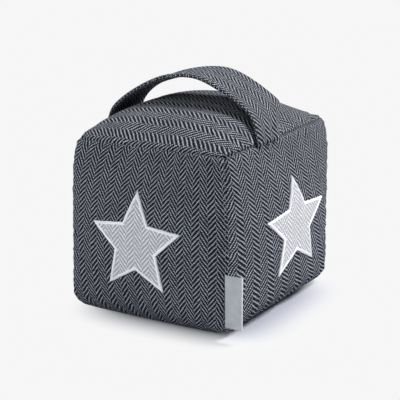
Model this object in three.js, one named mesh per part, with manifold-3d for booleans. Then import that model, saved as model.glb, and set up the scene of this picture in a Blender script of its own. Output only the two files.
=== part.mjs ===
// Weighted fabric door stop: a stuffed cube of herringbone cloth with a strap handle over its top.
// Six panels are sewn along the cube's edges, with their seam allowances turned in. The strap and the
// folded label are caught in the seams. A sealed bag of sand lies on the base, under soft wadding.
// Millimetres, +Z up. The origin is the middle of the underside, the handle runs along X, the front
// panel faces -Y, and the label stands out of the upright seam between the front and right panels.
import * as THREE from "three";
import { mergeVertices } from "three/addons/utils/BufferGeometryUtils.js";
import Module from "manifold-3d";

// The stuffed cover
const coverWidth = 150; // side seam to side seam, along X
const coverDepth = 150; // along Y
const seamHeight = 142; // floor to the seams round the top panel
const domeRise = 20.5; // the top panel's middle above its seams
const domeFullness = 3; // 2 is a round dome, more is a flatter one with steeper sides
const faceCrown = 3.5; // belly of each side panel
const crownAtTop = 0.55; // share of that belly that the top seams keep
const edgePull = 2.1; // how far the stitching draws the upright edges in
const edgePullFocus = 8; // exponent: more keeps the pull closer to the edge
const cornerTuck = 4.5; // how far the four top corners are drawn in
const cornerTuckFocus = 3;
const cornerDrop = 1.7; // and down
const cornerDropFocus = 4;
const tuckReach = 12; // height over which the tuck fades
const footRadius = 15.5; // the side panels roll under to the base seam
const footFlare = 2; // the cube is this much wider at the foot than at the top
const leanRight = 4.3; // how far the soft cube leans at the height of its top seams
const leanBack = 2;
const topTwist = THREE.MathUtils.degToRad(-1.75);
const outOfSquare = [ // how far some corners of the soft cube stand from their square places, in x and y
  { corner: [1, -1], atTop: false, by: [-5.1, 0] },
  { corner: [-1, -1], atTop: false, by: [-4.1, 1.5] },
  { corner: [1, 1], atTop: true, by: [2.6, 1.5] },
];

// Cloth and seams
const clothThickness = 1.2;
const seamGap = 0.3; // between the two allowances of a seam, and between any two touching pieces
const seamAllowance = 7; // cloth turned in past the seam
const slitRamp = 1.5; // length over which a seam opens round what is caught in it

// Strap handle
const strapWidth = 44;
const strapThickness = 3.6;
const strapEndThickness = 2.4; // pressed flat where it is stitched in
const strapEdgeRoll = 1.1; // softness of its two long edges
const strapShoulder = 0.9; // its thickness beside those edges, as a share of that in the middle
const strapEdgeFace = 0.4; // its edges' upright part, as a share of that thickness
const strapTail = 6; // length inside the seam
const strapRise = 41; // middle of the strap at its top, above the top seams
const strapPeakX = 8; // the arch peaks a little to the right
const strapBend = 1.8; // straight stretch outside the seam before the strap turns up
const strapTaper = 16; // length over which it reaches its full thickness
const strapGather = 38; // length over which its right end is gathered, and both ends swing to their places
const leftEnd = { side: -1, middle: 3, width: strapWidth }; // middle: along the seam, from the top's middle
const rightEnd = { side: 1, middle: -21, width: 28 };
const leftSpring = [3, 24]; // direction and pull of the arch at its left end, x and z
const rightSpring = [-8, 14];
const peakPull = [27, 25]; // how far the arch stays level to the left and right of its peak
const strapTilt = 1; // how far the arch's back edge stands out from its middle line
const strapTurn = 2; // and how much more so at the left, less at the right

// Star patches
const starTipRadius = 42.8;
const starNotchRadius = 20.2;
const starTips = 5;
const starStretch = 1.04; // sideways, on the stuffed cloth
const patchThickness = 0.8;
const borderWidth = 2.4; // satin stitching round the star
const borderHeight = 1.3;
const borderShoulder = 0.8; // height of the stitching at its two edges
const patchRings = [1, 0.7, 0.4]; // sizes of the outlines that bend a patch over the panel's belly
const starHeight = 66; // middle of a star above the floor
const starShift = { front: -5.1, right: 15.1, back: 0, left: 0 }; // sideways, from the panel's middle
const starSway = { front: 2.6, right: -8.5, back: 0, left: 0 }; // its top tip is drawn sideways

// Folded ribbon label
const labelBottom = 11.2;
const labelHeight = 41;
const labelReach = 15; // from the seam to the fold
const ribbonThickness = 0.4;
const ribbonSpacing = 0.4; // between the two layers
const labelTail = 5; // length inside the seam
const labelBend = 0.8; // the ribbon turns this far outside the seam
const bendLean = 0.4; // slant of its layers' turn

// Sand bag and wadding
const bagSize = 116;
const bagHeight = 56;
const bagSquareness = 6; // exponent of its rounded-box form
const pocketClearance = 0.6;
const waddingClearance = 0.6; // to the inside of the cloth
const waddingEdgeRelief = 8.4; // room at the cube's edges for the turned-in allowances
const reliefStart = 0.82; // where that relief starts, as a share of the way from middle to edge

// Facets
const panelSteps = 10; // across a panel
const footSteps = 4; // round the foot
const lineSpacing = 0.03; // least distance from a facet line to the lines where a seam opens
const archSteps = 14; // along each half of the strap's arch
const labelSteps = 4;
const waddingSteps = 8;
const bagSteps = 6;

const wasm = await Module();
wasm.setup();

// Form of the cover

const halfWidth = coverWidth / 2;
const halfDepth = coverDepth / 2;
const footArc = (Math.PI / 2) * footRadius;
const sideLength = footArc + seamHeight - footRadius; // a side panel's height, measured along the cloth

// The whole soft body leans and twists more the higher it is.
function settle(x, y, z) {
  const share = z / seamHeight;
  const turn = topTwist * share;
  return new THREE.Vector3(
    x * Math.cos(turn) - y * Math.sin(turn) + leanRight * share,
    x * Math.sin(turn) + y * Math.cos(turn) + leanBack * share,
    z,
  );
}

// Height and inset of a side panel at a share (0 base seam, 1 top seam) of its length.
function sideProfile(share) {
  const run = share * sideLength;
  if (run >= footArc) return { height: footRadius + run - footArc, inset: 0 };
  const angle = run / footRadius;
  return { height: footRadius * (1 - Math.cos(angle)), inset: footRadius * (1 - Math.sin(angle)) };
}

// The inverse: the side panel's share at a height above the floor.
function shareAtHeight(height) {
  if (height >= footRadius) return (footArc + height - footRadius) / sideLength;
  return (footRadius * Math.acos(1 - height / footRadius)) / sideLength;
}

// A point of the cover before it settles. Its address is a point on the surface of a cube that reaches
// from -1 to 1: px and py say where across, and pz runs up the side panels, from -1 at the base seam to
// 1 at the top seam. The side panels belly out, the upright edges and the top corners are drawn in, the
// top panel is domed, and some corners stand out of square.
function coverForm(px, py, pz, onTop) {
  const { height, inset } = sideProfile((pz + 1) / 2);
  const share = height / seamHeight;
  const belly = Math.max(4 * share * (1 - share), 0);
  const nearTop = Math.exp(-(seamHeight - height) / tuckReach);
  const bow = faceCrown * Math.max(belly, crownAtTop * nearTop);
  const drawnIn = (across) =>
    edgePull * Math.abs(across) ** edgePullFocus +
    cornerTuck * Math.abs(across) ** cornerTuckFocus * nearTop;
  const reach = (half, across) =>
    half - inset + bow * (1 - across ** 2) + footFlare * (0.5 - share) - drawnIn(across);
  const rise = (1 - Math.abs(px) ** domeFullness) * (1 - Math.abs(py) ** domeFullness);
  const dome = onTop ? domeRise * rise : 0;
  const drop = cornerDrop * Math.abs(px * py) ** cornerDropFocus * nearTop;
  const [x, y] = [px * reach(halfWidth, py), py * reach(halfDepth, px)];
  const point = new THREE.Vector3(x, y, height + dome - drop);
  outOfSquare.forEach(({ corner: [cornerX, cornerY], atTop, by }) => {
    const nearness = ((1 + cornerX * px) * (1 + cornerY * py)) / 4;
    point.addScaledVector(new THREE.Vector3(...by, 0), nearness * (atTop ? share : 1 - share));
  });
  return point;
}

function coverPoint(px, py, pz, onTop) {
  return settle(...coverForm(px, py, pz, onTop));
}

// The six faces: how a panel's own u and v (each -1 to 1) map to the cube's address. Seen from outside,
// u runs to the right and v runs up, so that cross(u, v) points out.
const faces = {
  front: { address: (u, v) => [u, -1, v] },
  right: { address: (u, v) => [1, u, v] },
  back: { address: (u, v) => [-u, 1, v] },
  left: { address: (u, v) => [-1, -u, v] },
  top: { address: (u, v) => [u, v, 1], onTop: true },
  base: { address: (u, v) => [-u, v, -1] },
};

function faceNormal(face, u, v) {
  const step = 1e-3;
  const at = (a, b) => coverPoint(...face.address(a, b), face.onTop);
  const along = at(u + step, v).sub(at(u - step, v));
  const up = at(u, v + step).sub(at(u, v - step));
  return along.cross(up).normalize();
}

// A point of a face, lifted off it along its normal.
function facePoint(face, u, v, lift = 0) {
  return coverPoint(...face.address(u, v), face.onTop).addScaledVector(faceNormal(face, u, v), lift);
}

// The outward direction at an address that lies on two or three faces: the mean of their normals.
function edgeNormal(address) {
  const [px, py, pz] = address;
  const sum = new THREE.Vector3();
  const add = (touches, face, u, v) => {
    if (touches) sum.add(faceNormal(face, u, v));
  };
  const close = (value, end) => Math.abs(value - end) < 1e-9;
  add(close(py, -1), faces.front, px, pz);
  add(close(px, 1), faces.right, py, pz);
  add(close(py, 1), faces.back, -px, pz);
  add(close(px, -1), faces.left, -py, pz);
  add(close(pz, 1), faces.top, px, py);
  add(close(pz, -1), faces.base, -px, py);
  return sum.normalize();
}

// The frame of a seam at an address on it: its point, the way in along the two allowances, and the
// unit direction square to both, on the side of towards. along is the address's axis that the seam follows.
function seamFrame(address, along, towards) {
  const step = address.map((_, axis) => (axis === along ? 1e-3 : 0));
  const shifted = (sign) => coverPoint(...address.map((value, axis) => value + sign * step[axis]), false);
  const inward = edgeNormal(address).negate();
  const away = shifted(1).sub(shifted(-1)).cross(inward).normalize();
  if (away.dot(towards) < 0) away.negate();
  return { point: coverPoint(...address, false), inward, away };
}

// Mesh helpers

// A closed mesh from points and triangles, as a geometry.
function solidGeometry(points, triangles) {
  const geometry = new THREE.BufferGeometry();
  const numbers = points.flatMap((p) => [p.x, p.y, p.z]);
  geometry.setAttribute("position", new THREE.Float32BufferAttribute(numbers, 3));
  geometry.setIndex(triangles.flat());
  return geometry;
}

// Two triangles for each cell of a grid of points; at(i, j) gives a point's number. A cell is split
// along its shorter diagonal, so that the two cloths of a seam are split alike.
function gridTriangles(points, columns, rows, at, flip = false) {
  const triangles = [];
  for (let i = 0; i + 1 < columns; i += 1) {
    for (let j = 0; j + 1 < rows; j += 1) {
      const [a, b, c, d] = [at(i, j), at(i + 1, j), at(i + 1, j + 1), at(i, j + 1)];
      const shorter = points[a].distanceTo(points[c]) < points[b].distanceTo(points[d]);
      const pair = shorter ? [[a, b, c], [a, c, d]] : [[a, b, d], [b, c, d]];
      triangles.push(...(flip ? pair.map((corners) => corners.toReversed()) : pair));
    }
  }
  return triangles;
}

// A body lofted through rings of equal length, each counterclockwise seen against the way they follow
// each other, with its two ends closed over the given cap triangles.
function loftGeometry(rings, cap) {
  const count = rings[0].length;
  const at = (i, j) => i * count + (j % count);
  const points = rings.flat();
  const triangles = gridTriangles(points, rings.length, count + 1, at, true);
  const last = (rings.length - 1) * count;
  cap.forEach(([a, b, c]) => triangles.push([c, b, a]));
  cap.forEach(([a, b, c]) => triangles.push([a + last, b + last, c + last]));
  return solidGeometry(points, triangles);
}

// A closed body on the six faces of a cube, each steps by steps cells, with its form given by place.
function boxFormGeometry(steps, place) {
  const points = [];
  const triangles = [];
  Object.values(faces).forEach((face) => {
    const start = points.length;
    for (let i = 0; i <= steps; i += 1) {
      for (let j = 0; j <= steps; j += 1) {
        const [u, v] = [i, j].map((k) => Math.sin((Math.PI / 4) * ((2 * k) / steps - 1)) / Math.SQRT1_2);
        points.push(place(...face.address(u, v), face.onTop));
      }
    }
    triangles.push(...gridTriangles(points, steps + 1, steps + 1, (i, j) => start + i * (steps + 1) + j));
  });
  return mergeVertices(solidGeometry(points, triangles), 1e-3);
}

function toManifold(geometry) {
  const merged = mergeVertices(geometry, 1e-3);
  return new wasm.Manifold(
    new wasm.Mesh({
      numProp: 3,
      vertProperties: merged.attributes.position.array,
      triVerts: new Uint32Array(merged.index.array),
    }),
  );
}

function fromManifold(solid) {
  const mesh = solid.getMesh();
  const geometry = new THREE.BufferGeometry();
  geometry.setAttribute("position", new THREE.BufferAttribute(mesh.vertProperties, 3));
  geometry.setIndex(new THREE.BufferAttribute(mesh.triVerts, 1));
  return geometry;
}

// Panels

// Adds the lines where a seam opens to a panel's grid lines, and leaves out those too close to them.
function withCatchLines(lines, extra) {
  const kept = lines.filter((line, k) =>
    k === 0 || k === lines.length - 1 || extra.every((other) => Math.abs(other - line) > lineSpacing));
  return [...kept, ...extra].sort((a, b) => a - b);
}

// Grid lines from -1 to 1, closer together near the edges.
function panelLines(extra = []) {
  const lines = Array.from({ length: panelSteps + 1 }, (_, k) => Math.sin(Math.PI * (k / panelSteps - 0.5)));
  return withCatchLines(lines, extra);
}

// The same for the height of a side panel: even facets round the foot, then closer towards the top.
function heightLines(extra = []) {
  const footShare = footArc / sideLength;
  const foot = Array.from({ length: footSteps }, (_, k) => (footShare * k) / footSteps);
  const wallSteps = panelSteps - 2;
  const wall = Array.from({ length: wallSteps + 1 }, (_, k) =>
    footShare + (1 - footShare) * Math.sin((Math.PI / 2) * (k / wallSteps)));
  return withCatchLines([...foot, ...wall].map((share) => 2 * share - 1), extra);
}

// Where something is caught in a seam: from and to are places along the seam, and opening is how far
// each cloth stands back from the seam's middle there.
const strapCatch = ({ middle, width }) => ({
  from: (middle - width / 2 - seamGap) / halfDepth,
  to: (middle + width / 2 + seamGap) / halfDepth,
  ramp: slitRamp / halfDepth,
  opening: strapEndThickness / 2 + seamGap,
});
const [leftCatch, rightCatch] = [strapCatch(leftEnd), strapCatch(rightEnd)];
const labelThickness = 2 * ribbonThickness + ribbonSpacing;
const labelCatch = {
  from: 2 * shareAtHeight(labelBottom - seamGap) - 1,
  to: 2 * shareAtHeight(labelBottom + labelHeight + seamGap) - 1,
  ramp: (2 * slitRamp) / sideLength,
  opening: labelThickness / 2 + seamGap,
};
const catchLines = ({ from, to, ramp }) => [from - ramp, from, to, to + ramp];
const mirrored = ({ from, to, ...rest }) => ({ from: -to, to: -from, ...rest });

// How far a panel's edge stands back from the seam's middle at a place along it.
function standBack(place, caught) {
  const closed = seamGap / 2;
  if (!caught) return closed;
  const outside = Math.max(caught.from - place, place - caught.to, 0);
  return closed + (caught.opening - closed) * Math.max(1 - outside / caught.ramp, 0);
}

// One cloth panel: a crowned sheet with its four allowances turned in along the seams' planes. caught
// holds what is sewn into its edges, under the names left, right, below and above.
function panelGeometry(face, uLines, vLines, caught = {}) {
  const uSize = face === faces.right || face === faces.left ? halfDepth : halfWidth;
  const vSize = face === faces.top || face === faces.base ? halfDepth : sideLength / 2;
  const [columns, rows] = [uLines.length, vLines.length];
  const outside = [];
  const inside = [];
  const sides = [
    { is: (i) => i === 0, out: [-1, 0], caught: caught.left },
    { is: (i) => i === columns - 1, out: [1, 0], caught: caught.right },
    { is: (i, j) => j === 0, out: [0, -1], caught: caught.below },
    { is: (i, j) => j === rows - 1, out: [0, 1], caught: caught.above },
  ];

  // Square to the plane of one of the panel's seams, into the panel, and how steeply the cloth leaves it.
  const awayFromSeam = (u, v, [du, dv]) => {
    const middle = face.address(0, 0);
    const along = face.address(dv, du).findIndex((value, axis) => value !== middle[axis]);
    const nearby = seamAllowance / halfWidth;
    const inPanel = facePoint(face, u - nearby * du, v - nearby * dv);
    const intoPanel = inPanel.sub(facePoint(face, u, v)).normalize();
    const { away } = seamFrame(face.address(u, v), along, intoPanel);
    return { away, facing: away.dot(intoPanel) };
  };

  for (let i = 0; i < columns; i += 1) {
    outside.push([]);
    inside.push([]);
    for (let j = 0; j < rows; j += 1) {
      const [u, v] = [uLines[i], vLines[j]];
      const meets = sides.filter((side) => side.is(i, j));
      const back = [0, 0];
      const away = new THREE.Vector3();
      meets.forEach(({ out: [du, dv], caught: held }) => {
        const seam = awayFromSeam(u, v, [du, dv]);
        back[0] -= (du * standBack(v, held)) / (seam.facing * uSize);
        back[1] -= (dv * standBack(u, held)) / (seam.facing * vSize);
        away.add(seam.away);
      });
      const edge = facePoint(face, u + back[0], v + back[1]);
      const normal = faceNormal(face, u + back[0], v + back[1]);
      if (!meets.length) {
        outside[i].push({ skin: edge });
        inside[i].push({ skin: edge.clone().addScaledVector(normal, -clothThickness) });
        continue;
      }
      const inward = edgeNormal(face.address(u, v)).negate();
      const depth = (clothThickness * (1 + away.dot(normal))) / -inward.dot(normal);
      const tip = edge.clone().addScaledVector(inward, seamAllowance);
      outside[i].push({ skin: edge, tip });
      inside[i].push({
        skin: edge.clone().addScaledVector(inward, depth).addScaledVector(away, clothThickness),
        tip: tip.clone().addScaledVector(away, clothThickness),
      });
    }
  }

  // The sheet's grid gains one more line all round, which holds the tips of the allowances.
  const [wide, tall] = [columns + 2, rows + 2];
  const pick = (layer, i, j) => {
    const [ci, cj] = [Math.min(Math.max(i - 1, 0), columns - 1), Math.min(Math.max(j - 1, 0), rows - 1)];
    const node = layer[ci][cj];
    return ci === i - 1 && cj === j - 1 ? node.skin : node.tip;
  };
  const points = [];
  [outside, inside].forEach((layer) => {
    for (let i = 0; i < wide; i += 1) for (let j = 0; j < tall; j += 1) points.push(pick(layer, i, j));
  });
  const outer = (i, j) => i * tall + j;
  const inner = (i, j) => wide * tall + i * tall + j;
  const rim = [];
  for (let i = 0; i < wide - 1; i += 1) rim.push([i, 0]);
  for (let j = 0; j < tall - 1; j += 1) rim.push([wide - 1, j]);
  for (let i = wide - 1; i > 0; i -= 1) rim.push([i, tall - 1]);
  for (let j = tall - 1; j > 0; j -= 1) rim.push([0, j]);
  const rimTriangles = rim.flatMap((here, k) => {
    const next = rim[(k + 1) % rim.length];
    return [
      [outer(...here), inner(...here), inner(...next)],
      [outer(...here), inner(...next), outer(...next)],
    ];
  });
  return solidGeometry(points, [
    ...gridTriangles(points, wide, tall, outer),
    ...gridTriangles(points, wide, tall, inner, true),
    ...rimTriangles,
  ]);
}

// Handle

// The seam that holds one end of the strap, at a place across the strap; side is -1 or 1.
function strapSeam(side, across) {
  return seamFrame([side, across / halfDepth, 1], 1, new THREE.Vector3(0, 0, 1));
}

// The arch's middle line, as x and z before the body settles, from just outside the left seam, up and
// over, to just outside the right seam.
function archLine() {
  const foot = ({ side, middle }) => {
    const { inward } = strapSeam(side, middle);
    const seam = coverForm(side, middle / halfDepth, 1, false);
    return new THREE.Vector2(seam.x - inward.x * strapBend, seam.z - inward.z * strapBend);
  };
  const [left, right] = [foot(leftEnd), foot(rightEnd)];
  const peak = new THREE.Vector2(strapPeakX, seamHeight + strapRise);
  const rising = new THREE.CubicBezierCurve(
    left,
    left.clone().add(new THREE.Vector2(...leftSpring)),
    new THREE.Vector2(peak.x - peakPull[0], peak.y),
    peak,
  );
  const falling = new THREE.CubicBezierCurve(
    peak,
    new THREE.Vector2(peak.x + peakPull[1], peak.y),
    right.clone().add(new THREE.Vector2(...rightSpring)),
    right,
  );
  return [...rising.getSpacedPoints(archSteps), ...falling.getSpacedPoints(archSteps).slice(1)];
}

// The strap's section at one place: flat with soft rolled edges, thinner where it is stitched in.
function strapSection(width, thickness) {
  const [side, flat] = [width / 2, thickness / 2];
  const shoulder = flat * strapShoulder;
  const quarter = [
    [side, Math.max(shoulder - strapEdgeRoll, shoulder * strapEdgeFace)],
    [side - strapEdgeRoll, shoulder],
  ];
  const mirror = quarter.map(([y, n]) => [-y, n]).reverse();
  const upper = [...quarter, [0, flat], ...mirror];
  return [...upper, ...upper.map(([y, n]) => [-y, -n])];
}

// One ring of the stitched-in end, set in from the seam; its upper side faces the top panel.
function strapEndRing({ side, middle, width }, setIn) {
  return strapSection(width, strapEndThickness).map(([y, n]) => {
    const { point, inward, away } = strapSeam(side, middle + y);
    return point.addScaledVector(inward, setIn).addScaledVector(away, -side * n);
  });
}

// One ring of the arch, at its distances from the two ends. Near an end the strap is thinner and takes
// up that end's place and width. Between the ends it is tilted a little, more to the left.
function archRing(point, tangent, fromLeft, fromRight) {
  const { smoothstep, lerp } = THREE.MathUtils;
  const nearLeft = 1 - smoothstep(fromLeft, 0, strapGather);
  const nearRight = 1 - smoothstep(fromRight, 0, strapGather);
  const atEnds = (left, right) => left * nearLeft + right * nearRight;
  const middle = atEnds(leftEnd.middle, rightEnd.middle);
  const width = strapWidth + atEnds(leftEnd.width - strapWidth, rightEnd.width - strapWidth);
  const fullness = smoothstep(Math.min(fromLeft, fromRight), 0, strapTaper);
  const thickness = lerp(strapEndThickness, strapThickness, fullness);
  const turn = (Math.PI * fromLeft) / (fromLeft + fromRight);
  const tilt = Math.sin(turn) * (strapTilt + strapTurn * Math.cos(turn));
  return strapSection(width, thickness).map(([y, n]) => {
    const out = n + (tilt * y) / (width / 2);
    return settle(point.x - tangent.y * out, middle + y, point.y + tangent.x * out);
  });
}

function handleGeometry() {
  const line = archLine();
  const lengths = [0];
  for (let k = 1; k < line.length; k += 1) lengths.push(lengths[k - 1] + line[k].distanceTo(line[k - 1]));
  const total = lengths.at(-1);
  const arch = line.slice(1, -1).map((point, index) => {
    const k = index + 1;
    const tangent = line[k + 1].clone().sub(line[k - 1]).normalize();
    return archRing(point, tangent, lengths[k], total - lengths[k]);
  });
  const setIns = [strapTail, 0, -strapBend];
  const rings = [
    ...setIns.map((setIn) => strapEndRing(leftEnd, setIn)),
    ...arch,
    ...setIns.toReversed().map((setIn) => strapEndRing(rightEnd, setIn)),
  ];
  const outline = strapSection(strapWidth, strapThickness).map(([y, n]) => new THREE.Vector2(y, n));
  return loftGeometry(rings, THREE.ShapeUtils.triangulateShape(outline, []));
}

// Star patches and their stitching

// The star's outline as [across, up] from its middle, drawn in by inset, with each edge in two pieces.
function starOutline(inset = 0) {
  const half = Math.PI / starTips;
  const edgeAngle = Math.atan2(
    starNotchRadius * Math.sin(half),
    starTipRadius - starNotchRadius * Math.cos(half),
  );
  const tip = starTipRadius - inset / Math.sin(edgeAngle);
  const notch = starNotchRadius - inset / Math.sin(edgeAngle + half);
  const corners = Array.from({ length: 2 * starTips }, (_, k) => {
    const radius = k % 2 ? notch : tip;
    const angle = Math.PI / 2 + k * half;
    return new THREE.Vector2(radius * Math.cos(angle), radius * Math.sin(angle));
  });
  return corners.flatMap((corner, k) => {
    const next = corners[(k + 1) % corners.length];
    return [corner, corner.clone().lerp(next, 0.5)];
  });
}

// A place of a star on its panel, lifted off the cloth.
function onPanel(side, point, lift) {
  const half = side === "front" || side === "back" ? halfWidth : halfDepth;
  const sway = starSway[side] * (Math.max(point.y, 0) / starTipRadius) ** 2;
  const u = (starShift[side] + sway + point.x * starStretch) / half;
  const v = 2 * shareAtHeight(starHeight + point.y) - 1;
  return facePoint(faces[side], u, v, lift);
}

// The patch follows the panel's belly: rings of the outline shrink towards its middle.
function patchGeometry(side) {
  const outline = starOutline(borderWidth + seamGap);
  const outlineAt = (scale, lift) => outline.map((p) => onPanel(side, p.clone().multiplyScalar(scale), lift));
  const layer = (lift) => [
    ...patchRings.flatMap((scale) => outlineAt(scale, lift)),
    onPanel(side, new THREE.Vector2(), lift),
  ];
  const points = [...layer(seamGap + patchThickness), ...layer(seamGap)];
  const count = outline.length;
  const size = patchRings.length * count + 1;
  const triangles = [];
  for (let k = 0; k < count; k += 1) {
    const next = (k + 1) % count;
    for (let ring = 0; ring + 1 < patchRings.length; ring += 1) {
      const [a, b] = [ring * count + k, ring * count + next];
      const [c, d] = [b + count, a + count];
      triangles.push([a, b, c], [a, c, d]);
      triangles.push([a + size, c + size, b + size], [a + size, d + size, c + size]);
    }
    const innermost = (patchRings.length - 1) * count;
    triangles.push([innermost + k, innermost + next, size - 1]);
    triangles.push([innermost + next + size, innermost + k + size, 2 * size - 1]);
    triangles.push([k, k + size, next + size], [k, next + size, next]);
  }
  return solidGeometry(points, triangles);
}

// The satin stitching: a low ridge round the star, highest along its middle.
function borderGeometry(side) {
  const profile = [
    [0, seamGap],
    [0, seamGap + borderShoulder],
    [borderWidth / 2, seamGap + borderHeight],
    [borderWidth, seamGap + borderShoulder],
    [borderWidth, seamGap],
  ];
  const tracks = profile.map(([inset, lift]) => starOutline(inset).map((p) => onPanel(side, p, lift)));
  const count = tracks[0].length;
  const points = tracks.flat();
  const at = (i, j) => (j % profile.length) * count + (i % count);
  return solidGeometry(points, gridTriangles(points, count + 1, profile.length + 1, at));
}

// Label

// The ribbon's outline at one height, seen from above: in the seam, out along +X, round the fold and
// back into the seam. The tail follows the seam's frame, and the rest starts from its corner point.
function labelRing(height) {
  const outer = ribbonSpacing / 2 + ribbonThickness;
  const inner = ribbonSpacing / 2;
  const address = [1, -1, 2 * shareAtHeight(height) - 1];
  const { point, inward, away } = seamFrame(address, 2, new THREE.Vector3(1, 1, 0));
  const fromCorner = (x, y) => new THREE.Vector3(point.x + x, point.y + y, point.z);
  const tail = (offset) => point.clone().addScaledVector(inward, labelTail).addScaledVector(away, offset);
  const bend = (offset) => fromCorner(labelBend + offset * bendLean, -labelBend + offset);
  const fold = (offset, angle) => fromCorner(
    labelReach - outer + offset * Math.cos(angle),
    -labelBend + offset * Math.sin(angle),
  );
  const turns = [-0.5, -0.25, 0, 0.25, 0.5].map((share) => share * Math.PI);
  return [
    tail(-outer),
    bend(-outer),
    ...turns.map((angle) => fold(outer, angle)),
    bend(outer),
    tail(outer),
    tail(inner),
    bend(inner),
    ...turns.toReversed().map((angle) => fold(inner, angle)),
    bend(-inner),
    tail(-inner),
  ];
}

function labelGeometry() {
  const rings = Array.from({ length: labelSteps + 1 }, (_, k) =>
    labelRing(labelBottom + (labelHeight * k) / labelSteps));
  const outline = rings[0].map((p) => new THREE.Vector2(p.x, p.y));
  return loftGeometry(rings, THREE.ShapeUtils.triangulateShape(outline, []));
}

// Filling

// The sand bag: a box with rounded sides, resting on the base panel. Extra makes it larger all round.
function bagPoint(px, py, pz, extra = 0) {
  const total = [px, py, pz].reduce((sum, value) => sum + Math.abs(value) ** bagSquareness, 0);
  const scale = total ** (-1 / bagSquareness);
  const half = bagSize / 2 + extra;
  const middle = clothThickness + seamGap + bagHeight / 2;
  return settle(px * scale * half, py * scale * half, middle + pz * scale * (bagHeight / 2 + extra));
}

function bagGeometry() {
  return boxFormGeometry(bagSteps, (px, py, pz) => bagPoint(px, py, pz));
}

// The wadding fills the cover, stands back from its edges, and is hollowed from below round the bag.
function waddingGeometry() {
  const middle = settle(0, 0, seamHeight / 2);
  const body = boxFormGeometry(waddingSteps, (px, py, pz, onTop) => {
    const second = [px, py, pz].map(Math.abs).sort((a, b) => b - a)[1];
    const relief = THREE.MathUtils.smoothstep(second, reliefStart, 1);
    const gap = clothThickness + waddingClearance + relief * waddingEdgeRelief;
    const skin = coverPoint(px, py, pz, onTop);
    return skin.lerp(middle, gap / halfWidth);
  });
  const pocket = boxFormGeometry(bagSteps, (px, py, pz) => {
    const wall = bagPoint(px, py, pz, pocketClearance);
    if (pz < 0) wall.z += pz * seamHeight; // open at the bottom
    return wall;
  });
  return fromManifold(toManifold(body).subtract(toManifold(pocket)));
}

// Finishes

const clothFinish = () => new THREE.MeshStandardMaterial({ color: 0x54565e, roughness: 0.95, metalness: 0 });
const patchFinish = () => new THREE.MeshStandardMaterial({ color: 0xb4b6bc, roughness: 0.9, metalness: 0 });
const stitchFinish = () => new THREE.MeshStandardMaterial({ color: 0xdfe1e6, roughness: 0.6, metalness: 0 });
const ribbonFinish = () => new THREE.MeshStandardMaterial({ color: 0xa2a7ab, roughness: 0.4, metalness: 0 });
const waddingFinish = () => new THREE.MeshStandardMaterial({ color: 0xf0f0ec, roughness: 1, metalness: 0 });
const bagFinish = () => new THREE.MeshStandardMaterial({ color: 0xc9c2b2, roughness: 0.9, metalness: 0 });

// Assembly

const doorStop = new THREE.Group();

function addPiece(parent, name, geometry, material) {
  const mesh = new THREE.Mesh(geometry, material);
  mesh.name = name;
  parent.add(mesh);
}

const cover = new THREE.Group();
const plainLines = panelLines();
const strapLines = panelLines([...catchLines(leftCatch), ...catchLines(rightCatch)]);
const mirroredLines = strapLines.map((line) => -line).reverse();
const plainHeights = heightLines();
const labelHeights = heightLines(catchLines(labelCatch));
const panels = {
  front: [plainLines, labelHeights, { right: labelCatch }],
  right: [strapLines, labelHeights, { left: labelCatch, above: rightCatch }],
  back: [plainLines, plainHeights, {}],
  left: [mirroredLines, plainHeights, { above: mirrored(leftCatch) }],
  top: [plainLines, strapLines, { left: leftCatch, right: rightCatch }],
  base: [plainLines, plainLines, {}],
};
Object.entries(panels).forEach(([side, layout]) => {
  addPiece(cover, `${side}_panel`, panelGeometry(faces[side], ...layout), clothFinish());
});
doorStop.add(cover);

const ornaments = new THREE.Group();
Object.keys(starShift).forEach((side) => {
  addPiece(ornaments, `${side}_star_patch`, patchGeometry(side), patchFinish());
  addPiece(ornaments, `${side}_star_border`, borderGeometry(side), stitchFinish());
});
doorStop.add(ornaments);

const filling = new THREE.Group();
addPiece(filling, "weight_bag", bagGeometry(), bagFinish());
addPiece(filling, "wadding", waddingGeometry(), waddingFinish());
doorStop.add(filling);

addPiece(doorStop, "handle", handleGeometry(), clothFinish());
addPiece(doorStop, "side_label", labelGeometry(), ribbonFinish());

export default doorStop;
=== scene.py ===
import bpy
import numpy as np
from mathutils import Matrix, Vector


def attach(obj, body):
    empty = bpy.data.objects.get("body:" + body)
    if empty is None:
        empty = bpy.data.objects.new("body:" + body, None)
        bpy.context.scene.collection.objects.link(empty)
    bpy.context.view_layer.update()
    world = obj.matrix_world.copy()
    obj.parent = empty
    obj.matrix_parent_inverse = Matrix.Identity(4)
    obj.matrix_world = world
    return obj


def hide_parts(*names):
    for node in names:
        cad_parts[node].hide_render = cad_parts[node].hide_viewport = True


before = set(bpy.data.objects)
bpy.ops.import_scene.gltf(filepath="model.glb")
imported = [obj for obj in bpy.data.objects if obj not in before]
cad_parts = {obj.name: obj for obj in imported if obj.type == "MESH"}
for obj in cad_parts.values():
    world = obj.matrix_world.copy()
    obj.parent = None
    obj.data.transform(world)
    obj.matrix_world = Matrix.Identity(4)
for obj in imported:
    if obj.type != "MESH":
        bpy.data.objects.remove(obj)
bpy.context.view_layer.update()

# %% [markdown]
# # A weighted fabric door stop
# The real object is a cube sewn from six pieces of herringbone tweed, stuffed with wadding over a bag of
# sand. It has a strap over its domed top, a pale star sewn on each side and a bare ribbon label in one
# seam. The CAD model holds its sizes. Here each piece gets the form and the finish of soft cloth.
# Lengths are worked out in millimetres and become metres when a mesh is made.

# %% [markdown]
# ## Making a mesh from arrays
# Every new piece below is a grid of points that numpy works out in one go. A small helper turns such a
# grid into a mesh. It also stores where each point lies on the cloth, as a UV map named "weave" that
# counts in millimetres, because a woven pattern follows the cloth and not the room.

# %% A mesh from points, faces and cloth coordinates
MM = 0.001


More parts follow.
